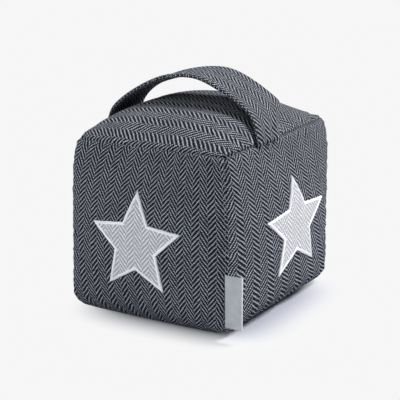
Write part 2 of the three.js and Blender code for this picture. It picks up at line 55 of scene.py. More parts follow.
def make_piece(name, points, faces, weave=None, smooth=True):
    """Points in millimetres and faces as rows of point numbers; weave holds one (x, y) for each corner."""
    faces = np.asarray(faces)
    mesh = bpy.data.meshes.new(name)
    mesh.vertices.add(len(points))
    mesh.vertices.foreach_set("co", (np.asarray(points, float) * MM).ravel())
    mesh.loops.add(faces.size)
    mesh.loops.foreach_set("vertex_index", faces.ravel().astype(np.int32))
    mesh.polygons.add(len(faces))
    mesh.polygons.foreach_set("loop_start", (np.arange(len(faces)) * faces.shape[1]).astype(np.int32))
    mesh.polygons.foreach_set("use_smooth", np.full(len(faces), smooth))
    if weave is not None:
        layer = mesh.uv_layers.new(name="weave")
        layer.data.foreach_set("uv", np.asarray(weave, np.float32).ravel())
    mesh.update(calc_edges=True)
    mesh.validate()
    piece = bpy.data.objects.new(name, mesh)
    bpy.context.scene.collection.objects.link(piece)
    return piece


def grid_faces(columns, rows, wrap_columns=False, wrap_rows=False):
    """The quads of a grid of points, numbered column by column; a wrapped direction closes on itself."""
    i = np.arange(columns if wrap_columns else columns - 1)
    j = np.arange(rows if wrap_rows else rows - 1)
    i, j = np.meshgrid(i, j, indexing="ij")
    right, up = (i + 1) % columns, (j + 1) % rows
    return np.stack([i * rows + j, right * rows + j, right * rows + up, i * rows + up], -1).reshape(-1, 4)


def unit(vectors):
    """Each vector divided by its own length."""
    return vectors / np.linalg.norm(vectors, axis=-1, keepdims=True)


# %% [markdown]
# ## The cube's form
# The stuffed cube isn't a box. Its sides belly out, its upright seams are drawn in, its top corners are
# tucked, its foot rolls under and its top is a dome. All of that fits in one formula that takes an
# address on the surface of the cube, from -1 to 1 on each axis. Three of its corners stand a few
# millimetres out of square. The CAD panels use the same formula, so the cloth made here lies where they
# lie.

# %% The cover's formula
COVER_HALF = 75.0
SEAM_HEIGHT = 142.0
DOME_RISE, DOME_FULLNESS = 20.5, 3
FACE_CROWN, CROWN_AT_TOP = 3.5, 0.55
EDGE_PULL, EDGE_PULL_FOCUS = 2.1, 8
CORNER_TUCK, CORNER_TUCK_FOCUS = 4.5, 3
CORNER_DROP, CORNER_DROP_FOCUS = 1.7, 4
TUCK_REACH = 12.0
FOOT_RADIUS, FOOT_FLARE = 15.5, 2.0
LEAN = (4.3, 2.0)
TOP_TWIST = np.radians(-1.75)
OUT_OF_SQUARE = [  # a corner in x and y, whether its top moves or its foot, and how far in x and y
    ((1, -1), False, (-5.1, 0.0)),
    ((-1, -1), False, (-4.1, 1.5)),
    ((1, 1), True, (2.6, 1.5)),
]
FOOT_ARC = np.pi / 2 * FOOT_RADIUS
SIDE_LENGTH = FOOT_ARC + SEAM_HEIGHT - FOOT_RADIUS


def settle(x, y, z):
    """The soft body leans and twists in proportion to the height."""
    share = z / SEAM_HEIGHT
    cosine, sine = np.cos(TOP_TWIST * share), np.sin(TOP_TWIST * share)
    return np.stack([x * cosine - y * sine + LEAN[0] * share, x * sine + y * cosine + LEAN[1] * share, z], -1)


def side_profile(share):
    """Height and inset at a share of a side panel's length: a quarter circle at the foot, then upright."""
    run = share * SIDE_LENGTH
    angle = np.minimum(run, FOOT_ARC) / FOOT_RADIUS
    above = np.maximum(run - FOOT_ARC, 0)
    return FOOT_RADIUS * (1 - np.cos(angle)) + above, FOOT_RADIUS * (1 - np.sin(angle))


def cover_form(px, py, pz, on_top):
    """The address times a half width that bellies by 1 - across squared and is drawn in at the edges.
    Each corner's move fades in proportion to the distance from it, along x, y and the height."""
    height, inset = side_profile((pz + 1) / 2)
    share = height / SEAM_HEIGHT
    near_top = np.exp(-(SEAM_HEIGHT - height) / TUCK_REACH)
    bow = FACE_CROWN * np.maximum(np.maximum(4 * share * (1 - share), 0), CROWN_AT_TOP * near_top)

    def reach(across):
        across = np.abs(across)
        drawn_in = EDGE_PULL * across**EDGE_PULL_FOCUS + CORNER_TUCK * across**CORNER_TUCK_FOCUS * near_top
        return COVER_HALF - inset + bow * (1 - across**2) + FOOT_FLARE * (0.5 - share) - drawn_in

    rise = (1 - np.abs(px) ** DOME_FULLNESS) * (1 - np.abs(py) ** DOME_FULLNESS)
    dome = DOME_RISE * rise if on_top else 0
    drop = CORNER_DROP * np.abs(px * py) ** CORNER_DROP_FOCUS * near_top
    x, y = px * reach(py), py * reach(px)
    for (corner_x, corner_y), at_top, (by_x, by_y) in OUT_OF_SQUARE:
        near = (1 + corner_x * px) * (1 + corner_y * py) / 4 * (share if at_top else 1 - share)
        x, y = x + near * by_x, y + near * by_y
    return x, y, height + dome - drop


# A face's own u and v run right and up as seen from outside, so that u cross v points out.
ADDRESS = {
    "front": lambda u, v: (u, -np.ones_like(u), v),
    "right": lambda u, v: (np.ones_like(u), u, v),
    "back": lambda u, v: (-u, np.ones_like(u), v),
    "left": lambda u, v: (-np.ones_like(u), -u, v),
    "top": lambda u, v: (u, v, np.ones_like(u)),
    "base": lambda u, v: (-u, v, -np.ones_like(u)),
}
PLACE_ON = {
    "front": lambda px, py, pz: (px, pz),
    "right": lambda px, py, pz: (py, pz),
    "back": lambda px, py, pz: (-px, pz),
    "left": lambda px, py, pz: (-py, pz),
    "top": lambda px, py, pz: (px, py),
    "base": lambda px, py, pz: (-px, py),
}


def form_point(face, u, v):
    """A point of the plain form, before the cloth's own softness."""
    return settle(*cover_form(*ADDRESS[face](u, v), face == "top"))


def normal_of(surface, face, u, v, step=2e-3):
    """The cross product of the surface's two slopes, each taken between two near points."""
    along = surface(face, u + step, v) - surface(face, u - step, v)
    up = surface(face, u, v + step) - surface(face, u, v - step)
    return unit(np.cross(along, up))


middle = form_point("top", np.zeros(1), np.zeros(1))[0]
print("top of the dome, mm:", np.round(middle, 1), " side panel length, mm:", round(SIDE_LENGTH, 1))

# %% [markdown]
# ## Stuffing the cover
# Real padding pushes the cloth out between its seams and leaves shallow hollows and creases that no
# formula guesses well. So a coarse copy of the cover is simulated as cloth: the seams and the base are
# held, air pressure stands for the wadding, and the cloth is cut a touch too large, as tweed eases when
# it is sewn. Only the movement is kept, capped at about a millimetre, and is added to the finer surface
# below. That keeps the weave's coordinates, which remeshing would lose.

# %% A coarse cover with shared seam points
COARSE = 26
MOST_MOVEMENT = 1.1
HELD_BELOW = -0.9  # from -1 at the foot to 1 at the top: the base and a strip above it are held
LAST_FRAME = 20


def cover_grid(lines):
    """All six faces on the same lines. Points with one address are one point, so the cover is closed."""
    u, v = np.meshgrid(lines, lines, indexing="ij")
    addresses = np.stack([np.stack(ADDRESS[face](u, v), -1) for face in ADDRESS]).reshape(-1, 3)
    _, first, shared = np.unique(np.round(addresses, 6), axis=0, return_index=True, return_inverse=True)
    shared = shared.reshape(-1)
    count = len(lines)
    quads = grid_faces(count, count)
    faces = np.concatenate([shared[quads + k * count * count] for k in range(len(ADDRESS))])
    return u, v, first, shared, faces


def cloth_movement():
    """Blender's cloth on the coarse cover: final place minus first place, no longer than the cap."""
    lines = np.linspace(-1, 1, COARSE + 1)
    u, v, first, shared, faces = cover_grid(lines)
    points = np.stack([form_point(face, u, v) for face in ADDRESS]).reshape(-1, 3)[first]
    piece = make_piece("cover_trial", points, faces)
    addresses = np.stack([np.stack(ADDRESS[face](u, v), -1) for face in ADDRESS]).reshape(-1, 3)[first]
    on_edge = (np.abs(np.abs(addresses) - 1) < 1e-6).sum(1) >= 2
    held = on_edge | (addresses[:, 2] < HELD_BELOW)
    piece.vertex_groups.new(name="held").add(np.flatnonzero(held).tolist(), 1.0, "REPLACE")
    cloth = piece.modifiers.new("Cloth", "CLOTH")
    cloth.settings.vertex_group_mass = "held"
    cloth.settings.quality = 8
    cloth.settings.mass = 0.3
    cloth.settings.tension_stiffness = 30
    cloth.settings.compression_stiffness = 30
    cloth.settings.shear_stiffness = 12
    cloth.settings.bending_stiffness = 0.8
    cloth.settings.shrink_min = -0.012
    cloth.settings.use_pressure = True
    cloth.settings.uniform_pressure_force = 4
    cloth.settings.effector_weights.gravity = 0
    for number in range(1, LAST_FRAME + 1):
        bpy.context.scene.frame_set(number)
    result = piece.evaluated_get(bpy.context.evaluated_depsgraph_get()).to_mesh()
    final = np.empty(len(points) * 3)
    result.vertices.foreach_get("co", final)
    bpy.data.objects.remove(piece)
    bpy.context.scene.frame_set(1)
    moved = final.reshape(-1, 3) / MM - points
    length = np.linalg.norm(moved, axis=1, keepdims=True)
    moved *= MOST_MOVEMENT * np.tanh(length / MOST_MOVEMENT) / np.maximum(length, 1e-9)
    return moved[shared].reshape(len(ADDRESS), COARSE + 1, COARSE + 1, 3)


movement = cloth_movement()
print("the cloth moved up to", round(float(np.linalg.norm(movement, axis=-1).max()), 2), "mm")

# %% [markdown]
# The movement is known at the coarse points only. A Catmull-Rom curve passes through all of them and
# stays smooth in between, and it works along u and v in turn, so it can be read at any place.

# %% The movement at any place


def blend_weights(t):
    """The four Catmull-Rom weights of the coarse points round a place at share t between two of them."""
    return np.stack([
        -0.5 * t + t**2 - 0.5 * t**3,
        1 - 2.5 * t**2 + 1.5 * t**3,
        0.5 * t + 2 * t**2 - 1.5 * t**3,
        -0.5 * t**2 + 0.5 * t**3,
    ])


def movement_at(face, u, v):
    """The weighted sum over the four by four coarse points round each place."""
    one_more = ((1, 1), (1, 1), (0, 0))
    field = np.pad(movement[list(ADDRESS).index(face)], one_more, "reflect", reflect_type="odd")
    a, b = (np.clip(t, -1, 1) * COARSE / 2 + COARSE / 2 for t in (u, v))
    i, j = (np.clip(np.floor(t).astype(int), 0, COARSE - 1) for t in (a, b))
    wide, tall = blend_weights(a - i), blend_weights(b - j)
    return sum(wide[k, ..., None] * tall[m, ..., None] * field[i + k, j + m]
               for k in range(4) for m in range(4))


# %% [markdown]
# ## Seams
# Two panels meet in a seam, and each turns inwards to get there. Seen from outside that is a rounded
# shoulder on both sides of a fine valley. The cloth beside it is gathered a little by the thread, which
# gives short soft puckers square to the seam. Both fade within a few millimetres.

# %% Shoulders, valleys and puckers beside the seams
NEIGHBOURS = {  # across the edges at u -1, u 1, v -1 and v 1
    "front": ("left", "right", "base", "top"),
    "right": ("front", "back", "base", "top"),
    "back": ("right", "left", "base", "top"),
    "left": ("back", "front", "base", "top"),
    "top": ("left", "right", "front", "back"),
    "base": ("right", "left", "front", "back"),
}
HALF_SIZE = {face: (COVER_HALF, SIDE_LENGTH / 2) for face in ("front", "right", "back", "left")}
HALF_SIZE |= {"top": (COVER_HALF, COVER_HALF), "base": (COVER_HALF - FOOT_RADIUS,) * 2}
SHOULDER_DEPTH, SHOULDER_REACH = 1.0, 6.0
VALLEY_DEPTH, VALLEY_REACH = 0.9, 1.0
STRAINED = 2.8  # the seam that holds the gathered strap is pulled in deeper
TURN_REACH = 4.0  # this near a seam, inwards turns from the panel's own direction to halfway
PUCKER_HEIGHT, PUCKER_REACH = 0.22, 3.2
PUCKER_WAVES = ((6.3, 1.0), (9.7, 0.9), (15.1, 0.8))  # each sine's length and size
PUCKER_SHIFT = 2.4  # from one seam to the next
BASE_PUCKER = 0.3  # the seams round the base pucker by this share of the others


def pucker(along, number):
    """Three sines of unlike lengths, so that no two puckers of a seam are alike."""
    return sum(size * np.sin(2 * np.pi * along / length + number * PUCKER_SHIFT)
               for length, size in PUCKER_WAVES)


# %% [markdown]
# ## Slack cloth
# Stuffing never reaches all corners alike. Beside the top's back corner the cloth sinks in a broad shallow
# dent. Under the near top corner the front is gathered in and makes one short slanted crease. Each is a
# bell-shaped hollow that closes at the seams.

# %% Dent and crease
DENT_DEPTH, DENT_PLACE, DENT_REACH = 3.2, 0.75, 0.35
CREASE_DEPTH, CREASE_LENGTH, CREASE_WIDTH = 2.4, 3.6, 1.3
CREASE_PLACE, CREASE_SLANT = (0.87, 0.915), (0.82, 0.57)


def slack(face, u, v):
    """The depth in mm: a bell over the distance, times 1 less a high power of u, times the same of v."""
    if face == "top":
        bell = np.exp(-(((u - DENT_PLACE) / DENT_REACH) ** 2) - ((v - DENT_PLACE) / DENT_REACH) ** 2)
        return DENT_DEPTH * bell * (1 - u**8) * (1 - v**8)
    if face == "front":
        across = (u - CREASE_PLACE[0]) * COVER_HALF
        up = (v - CREASE_PLACE[1]) * SIDE_LENGTH / 2
        along = across * CREASE_SLANT[0] - up * CREASE_SLANT[1]
        beside = across * CREASE_SLANT[1] + up * CREASE_SLANT[0]
        bell = np.exp(-((along / CREASE_LENGTH) ** 2) - (beside / CREASE_WIDTH) ** 2)
        return CREASE_DEPTH * bell * (1 - u**40) * (1 - v**40)
    return 0 * u


# %% The finished cloth


def skin(face, u, v):
    """Form and movement, then puckers outwards, slack inwards, and shoulder and valley towards the seam."""
    point = form_point(face, u, v) + movement_at(face, u, v)
    normal = normal_of(form_point, face, u, v)
    towards, depth, lift = normal.copy(), 0.0, 0.0
    half_u, half_v = HALF_SIZE[face]
    for k, other in enumerate(NEIGHBOURS[face]):
        side = -1 if k % 2 == 0 else 1
        place, across = (u, v) if k < 2 else (v, u)
        half, half_across = (half_u, half_v) if k < 2 else (half_v, half_u)
        from_seam = np.maximum((1 - side * place) * half, 0)
        edge = np.full_like(u, side)
        address = ADDRESS[face](edge, v) if k < 2 else ADDRESS[face](u, edge)
        other_normal = normal_of(form_point, other, *PLACE_ON[other](*address))
        towards += np.exp(-((from_seam / TURN_REACH) ** 2))[..., None] * other_normal
        shoulder = SHOULDER_DEPTH * np.clip(1 - from_seam / SHOULDER_REACH, 0, 1) ** 2
        valley = VALLEY_DEPTH * np.exp(-((from_seam / VALLEY_REACH) ** 2))
        if {face, other} == {"top", "right"}:
            valley = valley * STRAINED
        depth = np.hypot(depth, shoulder + valley)
        window = from_seam / PUCKER_REACH * np.exp(1 - from_seam / PUCKER_REACH)
        strength = BASE_PUCKER if "base" in (face, other) else 1
        lift = lift + strength * PUCKER_HEIGHT * window**2 * pucker(across * half_across, k + 5 * len(face))
    return point + normal * (lift - slack(face, u, v))[..., None] - unit(towards) * depth[..., None]


def on_skin(face, u, v, lift):
    """A point of the cloth, lifted off it along its normal."""
    return skin(face, u, v) + normal_of(skin, face, u, v) * np.asarray(lift)[..., None]


probe = skin("front", np.array([0.0, 1.0]), np.array([0.0, 0.0]))
print("middle and right edge of the front, mm:", np.round(probe, 1).tolist())

# %% [markdown]
# ## The stuffed cover
# The six panels become one closed surface, with grid lines closest together beside the seams, where the
# form changes fastest. Each panel keeps its own cloth coordinates. The columns of the herringbone run up
# the sides and along the handle on the top. Stuffing and sewing pull them askew: on the front they bow
# to the left at mid height, and on the right panel they lean and fan out towards the foot.

# %% Cover mesh
COVER_LINES, CROWDING = 116, 0.6
COLUMN = 7.06
COLUMNS = {  # the herringbone's columns, counted across the panel
    "front": lambda u, v: 10.63 * u - 9.77 + v**2 * (1.58 * u**2 + 0.98 * u - 1.67),
    "right": lambda u, v: 8.73 * u + 9.31 + v * (2.31 + 1.13 * v + 2.43 * u),
    "back": lambda u, v: 10.6 * u + 0.3 + v**2 * (0.5 - 0.9 * u**2),
    "left": lambda u, v: 10.2 * u + 0.6 + v * (0.8 + 0.4 * v),
    "top": lambda u, v: 10.2 * v + 0.5,
    "base": lambda u, v: 8.8 * u,
}
WEFT_SLOPE = {"front": 0.10, "right": -0.08, "left": 0.04}  # how the weft climbs across a panel


def weave_place(face, u, v):
    """Millimetres of cloth across the herringbone's columns and along them."""
    half_u, half_v = HALF_SIZE[face]
    along = -u * half_u if face == "top" else v * half_v + WEFT_SLOPE.get(face, 0) * u * half_u
    return np.stack([COLUMNS[face](u, v) * COLUMN, along], -1)


steps = np.linspace(-1, 1, COVER_LINES + 1)
lines = (1 - CROWDING) * steps + CROWDING * np.sin(np.pi / 2 * steps)
u, v, first, shared, faces = cover_grid(lines)
points = np.stack([skin(face, u, v) for face in ADDRESS]).reshape(-1, 3)[first]
points[:, 2] = np.maximum(points[:, 2], 0.0)
corner_places = grid_faces(len(lines), len(lines))
weave = np.concatenate([weave_place(face, u, v).reshape(-1, 2)[corner_places] for face in ADDRESS])
stuffed_cover = make_piece("stuffed_cover", points, faces, weave)
print("stuffed cover:", len(points), "points,", 2 * len(faces), "triangles")

# %% [markdown]
# ## Strap handle
# The handle is one strap of the same cloth, folded into several layers. It is sewn flat into both top
# seams and arches over the dome. Its right end is gathered and sewn in towards the near corner, so the
# strap runs a little askew. A soft flat section is carried along the arch, which is two Bezier curves
# that meet level at the top, with a short straight stretch out of each seam.

# %% The strap's path
STRAP_HALF, STRAP_THICK, STRAP_END_THICK = 22.0, 3.6, 2.4
STRAP_TAIL, STRAP_BEND, STRAP_TAPER = 6.0, 1.8, 16.0
STRAP_GATHER = {"left": 38.0, "right": 30.0}
STRAP_RISE, PEAK_X = 41.0, 8.0
LEFT_SPRING, RIGHT_SPRING, PEAK_PULL = (3.0, 24.0), (-8.0, 14.0), (27.0, 25.0)
STRAP_ENDS = {"left": (-1.0, 3.0, 22.0), "right": (1.0, -21.0, 14.0)}  # side, middle in y, half width
STRAP_TILT, STRAP_TURN = 1.0, 2.0


def bezier(a, b, c, d, count=90):
    """A cubic Bezier curve from a to d, drawn towards b and c."""
    t = np.linspace(0, 1, count)[:, None]
    return (1 - t) ** 3 * a + 3 * (1 - t) ** 2 * t * b + 3 * (1 - t) * t**2 * c + t**3 * d


def strap_path(count=170):
    """The middle line in x and z: seam, arch, seam, read at even lengths and smoothed."""
    feet, ways = [], []
    for face, (side, middle, _) in STRAP_ENDS.items():
        x, _, z = (float(value) for value in cover_form(side, middle / COVER_HALF, 1.0, False))
        place = np.array([middle / COVER_HALF])
        out = unit(normal_of(form_point, face, side * place, place * 0 + 1)
                   + normal_of(form_point, "top", place * 0 + side, place))
        feet.append(np.array([x, z]))
        ways.append(out[0, [0, 2]])
    starts = [foot + way * STRAP_BEND for foot, way in zip(feet, ways)]
    peak = np.array([PEAK_X, SEAM_HEIGHT + STRAP_RISE])
    line = np.concatenate([
        [feet[0] - ways[0] * STRAP_TAIL, feet[0]],
        bezier(starts[0], starts[0] + LEFT_SPRING, peak - (PEAK_PULL[0], 0), peak),
        bezier(peak, peak + (PEAK_PULL[1], 0), starts[1] + RIGHT_SPRING, starts[1])[1:],
        [feet[1], feet[1] - ways[1] * STRAP_TAIL],
    ])
    length = np.concatenate([[0], np.cumsum(np.linalg.norm(np.diff(line, axis=0), axis=1))])
    even = np.linspace(0, length[-1], count)
    path = np.stack([np.interp(even, length, line[:, k]) for k in range(2)], -1)
    for _ in range(3):
        path[1:-1] = (path[:-2] + 2 * path[1:-1] + path[2:]) / 4
    return path, even


def fade(distance, reach):
    """1 at no distance and 0 from reach on, by 1 - 3 t squared + 2 t cubed."""
    t = np.clip(distance / reach, 0, 1)
    return 1 - t**2 * (3 - 2 * t)


path, run = strap_path()
arch = run[-1] - 2 * (STRAP_TAIL + STRAP_BEND)
from_left = np.clip(run - STRAP_TAIL - STRAP_BEND, 0, arch)[:, None]
near_left = fade(from_left, STRAP_GATHER["left"])
near_right = fade(arch - from_left, STRAP_GATHER["right"])
print("strap length, seam to seam, mm:", round(float(run[-1] - 2 * STRAP_TAIL), 1))

# %% [markdown]
# Where the strap's right end is gathered, its cloth has too little room and stands up in soft pleats
# that run along it and fade as it widens. Sewn in askew, it also curls: its front edge stands up a few
# millimetres on the left half of the arch. Beside both seams its section follows the seam's own curve.

# %% The strap's section, carried along the path
PLEATS, PLEAT_HEIGHT, PLEAT_PLACE, PLEAT_SHIFT = 3, 1.2, 0.8, 0.4
CURL, CURL_PLACE, CURL_REACH = 4.8, np.radians(75), np.radians(55)
CURL_FROM, CURL_POWER = 0.4, 1.4  # where across the strap it starts to rise, and how steeply
WAVER, WAVER_LENGTHS = 0.25, (17.0, 9.0)
SEAM_CURVE_REACH = 12.0


def strap_section(count=72, roll=1.9):
    """Across and thickness, each from -1 to 1 of its half size. Across is a power of the cosine. Within
    roll of a long edge the thickness falls off almost as a circle's does, and all of it thins with the
    square of across, by a tenth at the edge."""
    angle = 2 * np.pi * (np.arange(count) + 0.5) / count
    across = np.sign(np.cos(angle)) * np.abs(np.cos(angle)) ** 0.75
    inside = np.clip((np.abs(across) * STRAP_HALF - (STRAP_HALF - roll)) / roll, 0, 1)
    full = np.sqrt(1 - inside**2 * 0.96) * (1 - 0.10 * across**2)
    return across, np.sign(np.sin(angle)) * full


across, full = strap_section()
tangent = unit(np.gradient(path, axis=0))
thin = fade(np.minimum(from_left, arch - from_left), STRAP_TAPER)
half_thick = (STRAP_THICK + (STRAP_END_THICK - STRAP_THICK) * thin) / 2
middle = STRAP_ENDS["left"][1] * near_left + STRAP_ENDS["right"][1] * near_right
half = STRAP_HALF + (STRAP_ENDS["right"][2] - STRAP_HALF) * near_right
waver = WAVER * np.sin(run / WAVER_LENGTHS[0]) * np.sin(run / WAVER_LENGTHS[1] + 1.0)
half = half + waver[:, None]
y = middle + across * half
turn = np.pi * from_left / arch
tilt = np.sin(turn) * (STRAP_TILT + STRAP_TURN * np.cos(turn)) * across
pleat = PLEAT_HEIGHT * near_right * fade(np.abs(near_right - PLEAT_PLACE), PLEAT_PLACE)
pleat = pleat * np.cos(PLEATS * np.pi * across + PLEAT_SHIFT)
risen = np.clip((CURL_FROM - across) / (1 + CURL_FROM), 0, 1) ** CURL_POWER
curl = CURL * fade(np.abs(turn - CURL_PLACE), CURL_REACH) * risen
outwards = full * half_thick + tilt + pleat + curl
x = path[:, :1] - tangent[:, 1:] * outwards
z = path[:, 1:] + tangent[:, :1] * outwards
for side, centre, _ in STRAP_ENDS.values():
    seam = cover_form(side, y / COVER_HALF, 1.0, False)
    seam_middle = cover_form(side, centre / COVER_HALF, 1.0, False)
    beside = fade(from_left if side < 0 else arch - from_left, SEAM_CURVE_REACH)
    x = x + beside * (seam[0] - seam_middle[0])
    z = z + beside * (seam[2] - seam_middle[2])
points = settle(x, y, z)

# %% Strap mesh
import bmesh


def close_piece(piece):
    """Joins points that lie on each other and closes an open end with one face."""
    work = bmesh.new()
    work.from_mesh(piece.data)
    bmesh.ops.remove_doubles(work, verts=work.verts, dist=1e-7)
    bmesh.ops.holes_fill(work, edges=[edge for edge in work.edges if edge.is_boundary], sides=0)
    bmesh.ops.recalc_face_normals(work, faces=work.faces)
    work.to_mesh(piece.data)
    work.free()
    open_edges = len(piece.data.edges) - len(piece.data.polygons) - len(piece.data.vertices) + 2
    print(piece.name, len(piece.data.polygons), "faces, edge count beyond a closed ball's:", open_edges)
    return piece


faces = grid_faces(len(run), len(across), wrap_rows=True)
strap_places = np.stack(np.broadcast_arrays(across * STRAP_HALF, run[:, None]), -1).reshape(-1, 2)
strap_handle = close_piece(make_piece("strap_handle", points.reshape(-1, 3), faces, strap_places[faces]))

# %% [markdown]
# ## Star patches
# Each star is cut from a pale cloth of the same weave and laid on its panel before the cube is sewn. So
# it bends with the panel. Rings of the star's outline shrink to its middle, are laid on the finished
# cloth, and are lifted by the patch's thickness.

# %% The star's outline and its place on a panel
STAR_TIP, STAR_NOTCH, STAR_TIPS, STAR_STRETCH = 42.8, 20.2, 5, 1.04
BORDER_WIDTH, BORDER_HEIGHT = 2.4, 1.3
STAR_HEIGHT = 66.0
STAR_SHIFT = {"front": -5.1, "right": 15.1, "back": 0.0, "left": 0.0}  # sideways from the panel's middle
STAR_SWAY = {"front": 2.6, "right": -8.5, "back": 0.0, "left": 0.0}  # of the top tip, with the cloth


def star_outline(inset, per_edge):
    """The ten corners moved in square to their edges, joined by straight lines of per_edge points."""
    half = np.pi / STAR_TIPS
    slope = np.arctan2(STAR_NOTCH * np.sin(half), STAR_TIP - STAR_NOTCH * np.cos(half))
    tip = STAR_TIP - inset / np.sin(slope)
    notch = STAR_NOTCH - inset / np.sin(slope + half)
    angle = np.pi / 2 + half * np.arange(2 * STAR_TIPS)
    radius = np.where(np.arange(2 * STAR_TIPS) % 2, notch, tip)
    corners = np.stack([radius * np.cos(angle), radius * np.sin(angle)], -1)
    share = (np.arange(per_edge) / per_edge)[:, None]
    return (corners[:, None] * (1 - share) + np.roll(corners, -1, axis=0)[:, None] * share).reshape(-1, 2)


def on_panel(face, places, lift):
    """Star millimetres, across and up from its middle, to a place on the panel's cloth. The part above
    the middle sways with the square of the height."""
    sway = STAR_SWAY[face] * (np.maximum(places[..., 1], 0) / STAR_TIP) ** 2
    u = (STAR_SHIFT[face] + sway + places[..., 0] * STAR_STRETCH) / COVER_HALF
    v = 2 * (FOOT_ARC + STAR_HEIGHT + places[..., 1] - FOOT_RADIUS) / SIDE_LENGTH - 1
    return on_skin(face, u, v, lift)


# %% Patch meshes
PATCH_FOOT, PATCH_LIFT = 0.1, 0.75
PATCH_RINGS, PATCH_EDGE_POINTS = 15, 14


def make_patch(face):
    """Rings out along the underside, over the edge and back in along the upper side. Their sizes are even
    steps to the power of 0.8, which sets them closer together towards the edge."""
    outline = star_outline(BORDER_WIDTH / 2, PATCH_EDGE_POINTS)
    shares = np.linspace(0, 1, PATCH_RINGS) ** 0.8
    scale = np.concatenate([shares, shares[::-1]])
    lift = np.repeat([PATCH_FOOT, PATCH_LIFT], PATCH_RINGS)
    places = outline * scale[:, None, None]
    points = on_panel(face, places, np.broadcast_to(lift[:, None], places.shape[:2]))
    faces = grid_faces(len(scale), len(outline), wrap_rows=True)
    return close_piece(make_piece(f"{face}_star", points.reshape(-1, 3), faces, places.reshape(-1, 2)[faces]))


patches = {face: make_patch(face) for face in STAR_SHIFT}

# %% [markdown]
# ## Satin stitching
# A dense satin stitch covers each star's raw edge. It reads as a smooth raised cord until you look close
# and see the single threads across it. Here the cord is a low arch carried round the outline, and every
# thread is a small ridge of its own, so the edge of the star is slightly ragged, as on the real one.

# %% Satin border meshes
THREADS_PER_EDGE, POINTS_PER_THREAD, ARCH_POINTS = 38, 4, 9
ARCH_STEP = 0.3  # from one point of the arch to the next in the cloth coordinates, where a thread is 1
THREAD_DIP, THREAD_RAGGED = 0.22, 0.14
BORDER_FOOT, BORDER_ROOT = 0.15, -0.3  # where the arch starts, and where it closes below the cloth
SCATTER = 12.9898  # a factor that makes a sine jump from one thread to the next


def make_border(face):
    """Over the width a half ellipse, made fuller by a power of 0.7. A cosine along the outline raises each
    thread, and a sine of its number times a large factor moves it in or out."""
    per_edge = THREADS_PER_EDGE * POINTS_PER_THREAD
    total = 2 * STAR_TIPS * per_edge
    thread = np.arange(total) / POINTS_PER_THREAD
    ridge = 0.5 + 0.5 * np.cos(2 * np.pi * thread)
    ragged = THREAD_RAGGED * np.sin(np.floor(thread) * SCATTER + 3)
    arch = np.linspace(0, np.pi, ARCH_POINTS)
    insets = BORDER_WIDTH / 2 * (1 - np.cos(arch))
    heights = np.sin(arch) ** 0.7
    tracks = np.stack([star_outline(inset, per_edge) for inset in insets])
    outwards = unit(tracks[0] - tracks[-1])
    tracks = tracks + outwards * (ragged * (insets[:, None] / BORDER_WIDTH * -2 + 1))[..., None]
    lift = BORDER_FOOT + heights[:, None] * (BORDER_HEIGHT - BORDER_FOOT - THREAD_DIP * (1 - ridge))
    under = np.full((1, total), BORDER_ROOT)
    tracks = np.concatenate([tracks, tracks[-1:], tracks[:1]])
    lift = np.concatenate([lift, under, under])
    points = on_panel(face, tracks, lift)
    faces = grid_faces(len(lift), total, wrap_columns=True, wrap_rows=True)
    along = np.broadcast_to(thread, lift.shape)
    over = np.broadcast_to(np.arange(len(lift))[:, None] * ARCH_STEP, lift.shape)
    places = np.stack([along, over], -1).reshape(-1, 2)
    return close_piece(make_piece(f"{face}_star_stitching", points.reshape(-1, 3), faces, places[faces]))


borders = {face: make_border(face) for face in STAR_SHIFT}

# %% [markdown]
# ## Ribbon label
# The label is a short satin ribbon folded in two, with both ends sewn into the upright seam between the
# front and the right panel. It is bare. Its path is drawn once as seen from above: out of the seam, to a
# soft fold, and back. That path follows the seam's corner at every height, and gets its thickness to
# both sides.

# %% Label mesh
LABEL_BOTTOM, LABEL_HEIGHT, LABEL_REACH, LABEL_TAIL = 11.2, 41.0, 15.0, 5.0
LABEL_BEND = (-1.5, 0.8)  # the ribbon turns from the seam's direction to its own between these
LABEL_SHIFT, LABEL_WAVE = 0.8, 0.35  # towards the front, and out of flat
RIBBON_THICK, LAYER_GAP, LAYER_GAP_IN_SEAM = 0.4, 0.4, 0.35
FOLD_START, FOLD_DEPTH, FOLD_RADIUS = LABEL_REACH - 1.2, 0.95, 0.75
LABEL_ROWS = 36


def label_path():
    """Distance out of the seam and sideways from it: two near layers joined by a drop-shaped fold."""
    out = np.concatenate([[-LABEL_TAIL, LABEL_BEND[0]], np.linspace(LABEL_BEND[1], FOLD_START, 20)])
    opened = (FOLD_RADIUS - LAYER_GAP) * np.clip(out / LABEL_REACH, 0, 1) ** 4
    side = np.where(out < 0, LAYER_GAP_IN_SEAM, LAYER_GAP + opened)
    turn = np.linspace(-np.pi / 2, np.pi / 2, 13)[1:-1]
    fold = np.stack([FOLD_START + FOLD_DEPTH * np.cos(turn), FOLD_RADIUS * np.sin(turn)], -1)
    return np.concatenate([np.stack([out, -side], -1), fold, np.stack([out, side], -1)[::-1]])


